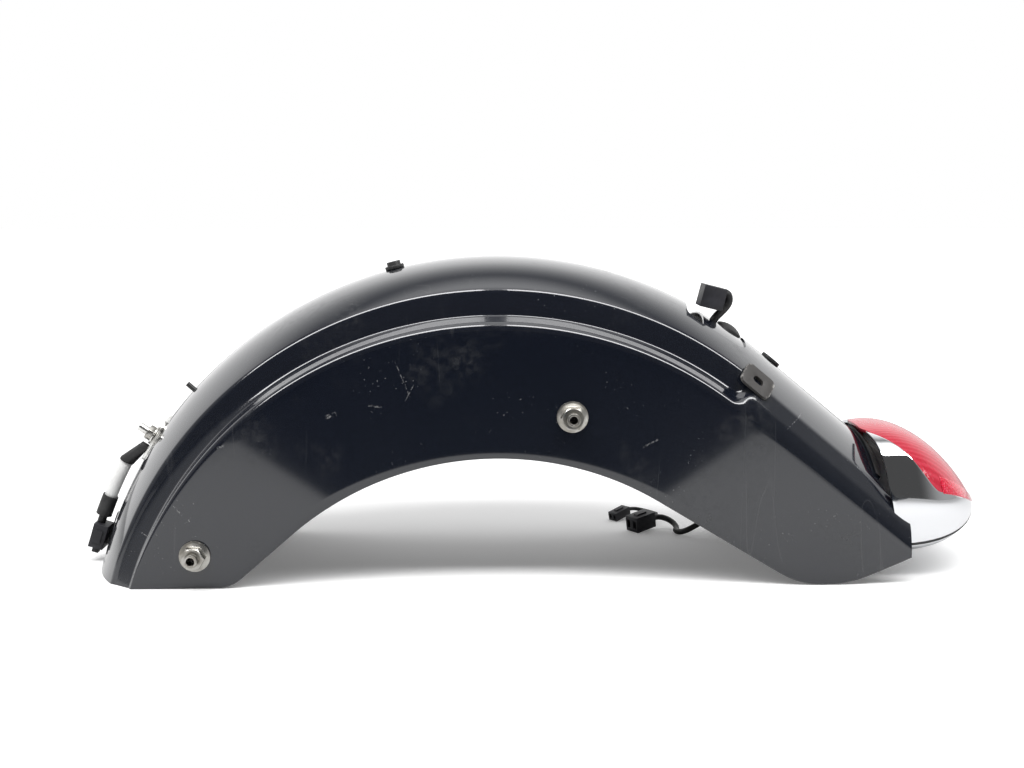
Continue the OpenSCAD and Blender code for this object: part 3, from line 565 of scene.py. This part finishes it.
def half_section(angle, tail):
    """Half a section from the middle of the crown to the side, as (across, out) points."""
    crown = [Vector((y, CROWN_R - CAP_R + math.sqrt(CAP_R ** 2 - y * y)))
             for y in [(CREASE_Y - CREASE_ROOM) * k / CROWN_STEPS for k in range(CROWN_STEPS + 1)]]
    low = shoulder(angle, tail)
    line = [crown[-1]] + low + [Vector((HALF_W, low[-1].y - SIDE_START))]
    return crown[:-1] + rounded(line, [0, *SHOULDER_ROUNDS, 0])[:-1]


def station(index):
    """The section at a station, and a function that puts a point at some distance from the crown's axis."""
    if index <= FRONT_STEPS:
        share = index / FRONT_STEPS

        def put(out):
            a = -blend(math.acos(ARC_DROP / out), FRONT_START, share)
            return out * math.sin(a), out * math.cos(a) - ARC_DROP
        return half_section(-blend(FRONT_SECTION, FRONT_START, share), 0), put
    if index <= FRONT_STEPS + ARC_STEPS:
        angle = blend(-FRONT_START, TAIL_ANGLE, (index - FRONT_STEPS) / ARC_STEPS)
        tail = smoothstep(math.radians(RUN_OUT_START), math.radians(RUN_OUT_END), angle)

        def put(out):
            return out * math.sin(angle), out * math.cos(angle) - ARC_DROP
        return half_section(angle, tail), put
    share = ((index - FRONT_STEPS - ARC_STEPS) / TAIL_STEPS) ** TAIL_CROWDING

    def put(out):
        far = share * (TAIL_END_X - out * math.sin(TAIL_ANGLE)) / math.cos(TAIL_ANGLE)
        return (out * math.sin(TAIL_ANGLE) + far * math.cos(TAIL_ANGLE),
                out * math.cos(TAIL_ANGLE) - far * math.sin(TAIL_ANGLE) - ARC_DROP)
    tail = smoothstep(RUN_OUT_START, RUN_OUT_END, math.degrees(TAIL_ANGLE) + share * RUN_OUT_DEGREES)
    return half_section(TAIL_ANGLE, tail), put


def lower_edge(start, end):
    """The side's lower outline from front to tail, as (station, point) marks with rounded corners."""
    turn = ARCH_TOP - ARCH_R

    def arch(angle):
        return ARCH_R * math.sin(angle), turn + ARCH_R * math.cos(angle)

    front, rear = arch(-ARCH_FRONT), arch(ARCH_REAR)
    notch = front[0] - front[1] / math.tan(ARCH_FRONT)
    heel = rear[0] + rear[1] / math.tan(ARCH_REAR)
    corners = [(0, start, 0), (NOTCH_STATION, (notch, 0), NOTCH_ROUND)]
    corners += [(blend(ARCH_START_STATION, ARCH_END_STATION, k / ARCH_PARTS),
                 arch(blend(-ARCH_FRONT, ARCH_REAR, k / ARCH_PARTS)), 0) for k in range(ARCH_PARTS + 1)]
    corners += [(HEEL_STATION, (heel, 0), HEEL_ROUND), (FOOT_STATION, (FOOT_END_X, 0), FOOT_ROUND),
                (TAIL_CORNER_STATION, (TAIL_END_X - TAIL_CORNER_IN, TAIL_CORNER_H), TAIL_CORNER_ROUND),
                (LAST_STATION, end, 0)]
    line = rounded([Vector((index / STATION_SCALE, *place)) for index, place, radius in corners],
                   [radius for index, place, radius in corners])
    return [(p.x * STATION_SCALE, (p.y, p.z)) for p in line]


def along(marks, index):
    """The lower outline's point at a station, and the direction from it into the side."""
    for (a, p), (b, q) in zip(marks, marks[1:]):
        if b > a and a - 0.001 <= index <= b + 0.001:
            t = (index - a) / (b - a)
            way = Vector((q[0] - p[0], q[1] - p[1])).normalized()
            return Vector((blend(p[0], q[0], t), blend(p[1], q[1], t))), Vector((-way.y, way.x))
    raise ValueError(index)


def inside_of(line):
    """The same section line, a wall's thickness further in."""
    out = [Vector((0, line[0].y - WALL))]
    for before, here, after in zip(line, line[1:], line[2:]):
        first, second = (here - before).normalized(), (after - here).normalized()
        way = (first + second).normalized()
        out.append(here + Vector((way.y, -way.x)) * (WALL / max(way.dot(first), 0.6)))
    return out + [Vector((HALF_W - WALL, line[-1].y))]


def half_loop(index, marks):
    """Half a station's closed outline: out and down the outer face, round the hem, up the inner face."""
    section, put = station(index)
    outer, inner = ([(put(p.y)[0], p.x, put(p.y)[1]) for p in line] for line in (section, inside_of(section)))
    top = Vector((outer[-1][0], outer[-1][2]))
    low, inward = along(marks, index)
    ramp = smoothstep(*HEM_AT_FRONT, index) * smoothstep(*HEM_AT_TAIL, LAST_STATION - index)
    base = low + inward * WALL * ramp
    panel = [top.lerp(base, k / PANEL_STEPS) for k in range(1, PANEL_STEPS + 1)]
    hem = []
    for k in range(1, FOLD_STEPS + 1):
        turn = math.pi * k / FOLD_STEPS
        p = low + inward * WALL * ramp * (1 - math.sin(turn))
        hem.append((p.x, HALF_W - WALL * (1 + ramp) / 2 * (1 - math.cos(turn)), p.y))
    for across in (HALF_W - WALL * (1 + ramp), HALF_W - WALL):
        p = base + inward * (HEM - WALL) * ramp
        hem.append((p.x, across, p.y))
    outer += [(p.x, HALF_W, p.y) for p in panel]
    inner += [(p.x, HALF_W - WALL, p.y) for p in panel]
    return outer, hem, inner[::-1]


def shell():
    ends = [put(section[-1].y) for section, put in (station(0), station(LAST_STATION))]
    marks = lower_edge(*ends)
    rows = []
    for index in range(LAST_STATION + 1):
        outer, hem, inner = half_loop(index, marks)
        half = outer + hem + inner
        whole = half + [(x, -y, z) for x, y, z in reversed(half[1:-1])]
        rows.append([Vector((ARC_X + x, y, z)) for x, y, z in whole])
    size, count, total = len(half), len(outer), len(rows[0])
    mirror = [0] + [total - j for j in range(1, size - 1)] + [size - 1]
    cap = [(i, i + 1, size - 2 - i, size - 1 - i) for i in range(count - 1)]
    cap += [tuple(range(count - 1, size - count + 1))]
    cap += [tuple(mirror[i] for i in face) for face in cap]
    piece = grid_of("fender_skin", rows, PAINT, closed=True, caps=cap)
    tidy(piece)
    cut_opening(piece)
    smooth(piece, 32)
    settle(piece, "black_paint", "fender_shell")


CUTTER_DEPTH = 0.06


def cut_opening(piece):
    length, width, radius = OPENING
    bpy.ops.object.select_all(action="DESELECT")
    bpy.ops.mesh.primitive_cube_add(size=1, location=at_arc(OPENING_ANGLE, CROWN_R),
                                    rotation=(0, OPENING_ANGLE, 0))
    cutter = bpy.context.object
    cutter.scale = (length, width, CUTTER_DEPTH)
    bpy.ops.object.transform_apply(location=False, rotation=False, scale=True)
    bpy.ops.object.mode_set(mode="EDIT")
    bpy.ops.mesh.select_all(action="DESELECT")
    bpy.ops.object.mode_set(mode="OBJECT")
    for edge in cutter.data.edges:
        a, b = (cutter.data.vertices[v].co for v in edge.vertices)
        edge.select = abs(a.z - b.z) > CUTTER_DEPTH / 2
    bpy.ops.object.mode_set(mode="EDIT")
    bpy.ops.mesh.select_mode(type="EDGE")
    bpy.ops.mesh.bevel(offset=radius, segments=14, offset_type="OFFSET")
    bpy.ops.object.mode_set(mode="OBJECT")
    modify(piece, "BOOLEAN", operation="DIFFERENCE", object=cutter, solver="EXACT")
    bpy.data.objects.remove(cutter)


# The tail lamp. A place on its face has t, 0 at its front and 1 at its rear, and an angle in degrees round
# it: 0 on the left, 90 on top, 180 on the right. Its sections are square-shouldered ovals, squarer below.
UPPER_SQUARE, LOWER_SQUARE, LOWER_SOFTENING, SOFTENING_POWER = 2.3, 4.0, 1.7, 8
LAMP_CROWDING = 1.6
LAMP_LAST = 0.996
LENS_SIDE, LENS_RISE, LENS_RISE_END, LENS_RISE_POWER = 12, 68, 0.42, 1.6
SEAM = 0.4
REFLEX_SPAN, REFLEX_START, REFLEX_END = 15, 0.45, 0.9
# Thin black strips in the lamp's lower chrome, painted shade of a groove there: angle span, thickness, and the
# t where they start and end
SLOT_SPAN, SLOT_T, SLOT_START, SLOT_END = 4, 0.0006, 0.12, 0.93


def bend(a, b, c, t):
    return [(1 - t) ** 2 * p + 2 * t * (1 - t) * q + t * t * r for p, q, r in zip(a, b, c)]


def power(value, exponent):
    return math.copysign(abs(value) ** exponent, value)


def lamp_point(t, degrees, deep):
    """A point at some depth under a place on the lamp's face."""
    top, low = bend(*LAMP_TOP, t), bend(*LAMP_LOW, t)
    middle = [blend(a, b, LAMP_MIDDLE) for a, b in zip(top, low)]
    wide = max(LAMP_HALF_W * math.sqrt(1 - t ** LAMP_TAPER) - deep, 0.0004)
    turn = math.radians(degrees)
    square = UPPER_SQUARE
    if degrees >= 180:
        square = LOWER_SQUARE - LOWER_SOFTENING * abs(math.cos(turn)) ** SOFTENING_POWER
    across, up = (power(f(turn), 2 / square) for f in (math.cos, math.sin))
    end = top if up > 0 else low
    to = [a - b for a, b in zip(end, middle)]
    size = math.hypot(*to)
    share = abs(up) * max(size - deep, 0.0002) / size
    x = min(middle[0] + to[0] * share - deep * t * t, LAMP_REAR - 0.0012)
    return Vector((ARC_X + x, -wide * across, middle[1] + to[1] * share))


def lens_edge(t):
    """The angle at which the lens begins: low along the sides, and high at the lamp's front."""
    return LENS_SIDE + LENS_RISE * max(1 - t / LENS_RISE_END, 0) ** LENS_RISE_POWER


def lamp_rows(count, t0, t1):
    """Rows from t0 to t1, closer together towards the rear."""
    return [blend(t0, t1, 1 - (1 - j / count) ** LAMP_CROWDING) for j in range(count + 1)]


def lamp_sheet(name, spans, deep, t0, t1, columns, thick, material, rows=54):
    """A strip of the lamp's face between two angles at each t, given a wall."""
    lines = [[lamp_point(t, blend(*spans(t), i / columns), deep) for i in range(columns + 1)]
             for t in lamp_rows(rows, t0, t1)]
    piece = grid_of(name, lines, material)
    tidy(piece, 0.00002)
    modify(piece, "SOLIDIFY", thickness=thick, offset=-1.0, use_even_offset=False)
    modify(piece, "BEVEL", width=0.0005, segments=2, limit_method="ANGLE", angle_limit=math.radians(50))
    smooth(piece, 40)
    return piece


def lamp():
    def chrome_span(t):
        return 180 - lens_edge(t) + SEAM, 360 + lens_edge(t) - SEAM

    def lens_span(t):
        return lens_edge(t), 180 - lens_edge(t)

    def left_reflex(t):
        return lens_edge(t) + SEAM, lens_edge(t) + SEAM + REFLEX_SPAN

    def right_reflex(t):
        return 180 - lens_edge(t) - SEAM - REFLEX_SPAN, 180 - lens_edge(t) - SEAM

    housing = lamp_sheet("lamp_chrome", chrome_span, 0, 0, LAMP_LAST, 120, LAMP_WALL, CHROME)
    settle(housing, "chrome", "lamp_housing")
    cover = lamp_sheet("lens_cover", lens_span, 0, 0, LAMP_LAST, 72, LENS_T, LENS)
    settle(cover, "red_lens", "lamp_lens")
    left, right = (lamp_sheet(name, span, -REFLEX_T, REFLEX_START, REFLEX_END, 16, REFLEX_T, REFLEX, 36)
                   for name, span in (("reflex_left", left_reflex), ("reflex_right", right_reflex)))
    settle(left, "red_reflex", "side_reflectors")
    settle(right, "red_reflex")
    # Painted shade: thin black strips sunk into the lower chrome stand in for the dark line of a groove there
    for side, start in (("left", 326), ("right", 210)):
        slot = lamp_sheet("painted_shade_strip_" + side, lambda t: (start, start + SLOT_SPAN), -SLOT_T / 2, SLOT_START,
                          SLOT_END, 6, SLOT_T, RUBBER, 30)
        settle(slot, "black_rubber")


# Leads. Their routes are in millimetres, with x from the crown's axis, and are chosen one by one.
FLOOR_ROUTE = [(290, 4.1, 155.6), (289.8, 8, 154.8), (289, 14, 150.8), (288, 19, 143), (285, 23, 133),
               (278, 28, 118), (268, 33, 98), (257, 40, 75), (246, 48, 54), (233, 56, 36), (221, 61, 24),
               (210, 64, 15), (201, 66, 9), (194, 69.5, 5), (190, 75.5, 3.3), (188.5, 82, 3.3),
               (190, 88.5, 4.4), (188.5, 96, 6.6), (184, 101.5, 9.2), (177.5, 103.5, 11.4),
               (171, 101.8, 12.3), (166.1, 98.4, 11.7)]
LINK_ROUTE = [(160.7, 105.9, 12.7), (166, 109.6, 12.9), (171, 115.5, 12.3), (173, 123, 10.8),
              (172.5, 131, 9.2), (170.5, 140, 8), (166.5, 148, 7.4), (161, 153.6, 7.5), (155, 155.4, 8.2),
              (149.3, 153.1, 8.8), (143.6, 148.4, 9.1)]
SEAT_ROUTE = [(217.5, 0, 258.5), (219.5, 0, 258), (222, 0, 256), (222.9, 0, 252), (221.5, 0, 247),
              (217, 0, 241.5), (211.5, 0, 236), (208.1, 0, 231.5), (205.2, 0, 226.8)]
FLOOR_LEAD_D, LINK_LEAD_D, SEAT_LEAD_D = 0.006, 0.004, 0.008
ROUTE_STEPS = 6


def through(points, steps):
    """Points on a smooth curve through the chosen points."""
    out = []
    last = len(points) - 1
    for i in range(last):
        a, b, c, e = (Vector(points[k]) for k in (max(i - 1, 0), i, i + 1, min(i + 2, last)))
        for j in range(steps):
            t = j / steps
            out.append((2 * b + (c - a) * t + (2 * a - 5 * b + 4 * c - e) * t * t
                        + (3 * b - a - 3 * c + e) * t ** 3) / 2)
    return out + [Vector(points[-1])]


def lead(name, route, diameter, replaced):
    """A lead along a route, in place of a node; its curve, its length and its points."""
    curve = bpy.data.curves.new(name, "CURVE")
    curve.dimensions = "3D"
    curve.bevel_depth = diameter / 2
    curve.bevel_resolution = 4
    curve.use_fill_caps = True
    spline = curve.splines.new("POLY")
    points = through([((x / 1000) + ARC_X, y / 1000, z / 1000) for x, y, z in route], ROUTE_STEPS)
    spline.points.add(len(points) - 1)
    for point, place in zip(spline.points, points):
        point.co = (*place, 1)
    curve.materials.append(JACKET)
    piece = bpy.data.objects.new(name, curve)
    bpy.context.scene.collection.objects.link(piece)
    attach(piece, "root")
    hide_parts(replaced)
    length = sum((b - a).length for a, b in zip(points, points[1:]))
    return piece, length, points


def leads():
    floor_lead, length, points = lead("floor_cable", FLOOR_ROUTE, FLOOR_LEAD_D, "floor_lead")
    link, length, points = lead("link_cable", LINK_ROUTE, LINK_LEAD_D, "link_lead")
    lead("seat_cable", SEAT_ROUTE, SEAT_LEAD_D, "seat_lead")


leads()
shell()
lamp()


# The room: a floor and backdrop that the camera sees as white, a bright ceiling, and a dark room on the
# camera's side. For all other rays, the paint's reflections among them, the floor is pale but for a blunt V of
# painted shade, dark colour put into the floor for the paint to reflect, that opens towards the camera: its
# tip's half width, the slant of its sides, shift and blur.
TIP_HALF_W, DARK_SLANT, DARK_SHIFT, DARK_BLUR = 0.19, 2.1, 0.04, 0.03


def floor():
    bpy.ops.object.select_all(action="DESELECT")
    bpy.ops.mesh.primitive_grid_add(x_subdivisions=8, y_subdivisions=8, size=24, location=(0, 0, -0.0002))
    ground = bpy.context.object
    ground.name = "studio_floor"
    finish = Finish("white_floor", roughness=0.9, specular_ior_level=0.0)
    seen = finish.ray("Is Camera Ray")
    aside = (finish.axis("X") - ARC_X).size().top(TIP_HALF_W)
    # Painted shade: for all but camera rays the floor's colour turns dark in a V towards the camera, a painted
    # reflection for the paint to show
    pale = (finish.axis("Y") + aside * DARK_SLANT + DARK_SHIFT).rise(-DARK_BLUR, DARK_BLUR).top(seen)
    grain = finish.noise(3, 2.0) * 0.01
    floor_with_painted_dark_v = finish.mix(pale - grain, colour(0.03, 0.034, 0.042), colour(0.70, 0.70, 0.70))
    finish.feed("Base Color", finish.mix(seen, floor_with_painted_dark_v, colour(0.93, 0.93, 0.93)))
    far = finish.axis("Y").rise(0.2, 1.4).top(finish.axis("Y").rise(-0.2, -0.6))
    finish.feed("Emission Color", finish.mix(seen * (0.14 + far * 0.6), colour(0, 0, 0), colour(1, 1, 1)))
    finish.shader.inputs["Emission Strength"].default_value = 1.0
    ground.data.materials.append(finish.material)


CEILING, BEHIND, ENDS, DARK = 1.4, 1.05, 0.30, 0.07


def room():
    world = bpy.data.worlds.new("room")
    bpy.context.scene.world = world
    world.use_nodes = True
    backdrop = world.node_tree.nodes["Background"]
    air = NodeTree(world.node_tree)
    way = air.node("ShaderNodeTexCoord", {}, {}, "Generated")
    side, back, up = (air.part(way, axis) for axis in "XYZ")
    seen = air.ray("Is Camera Ray").top(air.ray("Is Transmission Ray"))
    ceiling = up.rise(0.78, 0.96) * CEILING
    behind = back.rise(0.0, 0.35) * up.rise(0.92, 0.45) * BEHIND
    ends = side.size().rise(0.55, 0.95) * ENDS
    level = (ceiling + behind + ends + DARK) * (1 - seen) + seen
    world.node_tree.links.new(level.socket, backdrop.inputs["Strength"])
    backdrop.inputs["Color"].default_value = (1, 1, 1, 1)


STRIP_Y, STRIP_Z, STRIP_AIM_Z, STRIP_DEPTH, STRIP_WATTS = -0.58, 1.20, 0.15, 0.34, 15.0


def strip_light(name, x0, x1):
    bpy.ops.object.light_add(type="AREA", location=((x0 + x1) / 2, STRIP_Y, STRIP_Z))
    light = bpy.context.object
    light.name = name
    light.data.shape = "RECTANGLE"
    light.data.size = x1 - x0
    light.data.size_y = STRIP_DEPTH
    light.data.energy = STRIP_WATTS
    aim = Vector((light.location.x, 0, STRIP_AIM_Z))
    light.rotation_mode = "QUATERNION"
    light.rotation_quaternion = (aim - light.location).to_track_quat("-Z", "Y")


floor()
room()
strip_light("strip_front", -1.5, -0.08)
strip_light("strip_tail", 0.02, 1.5)
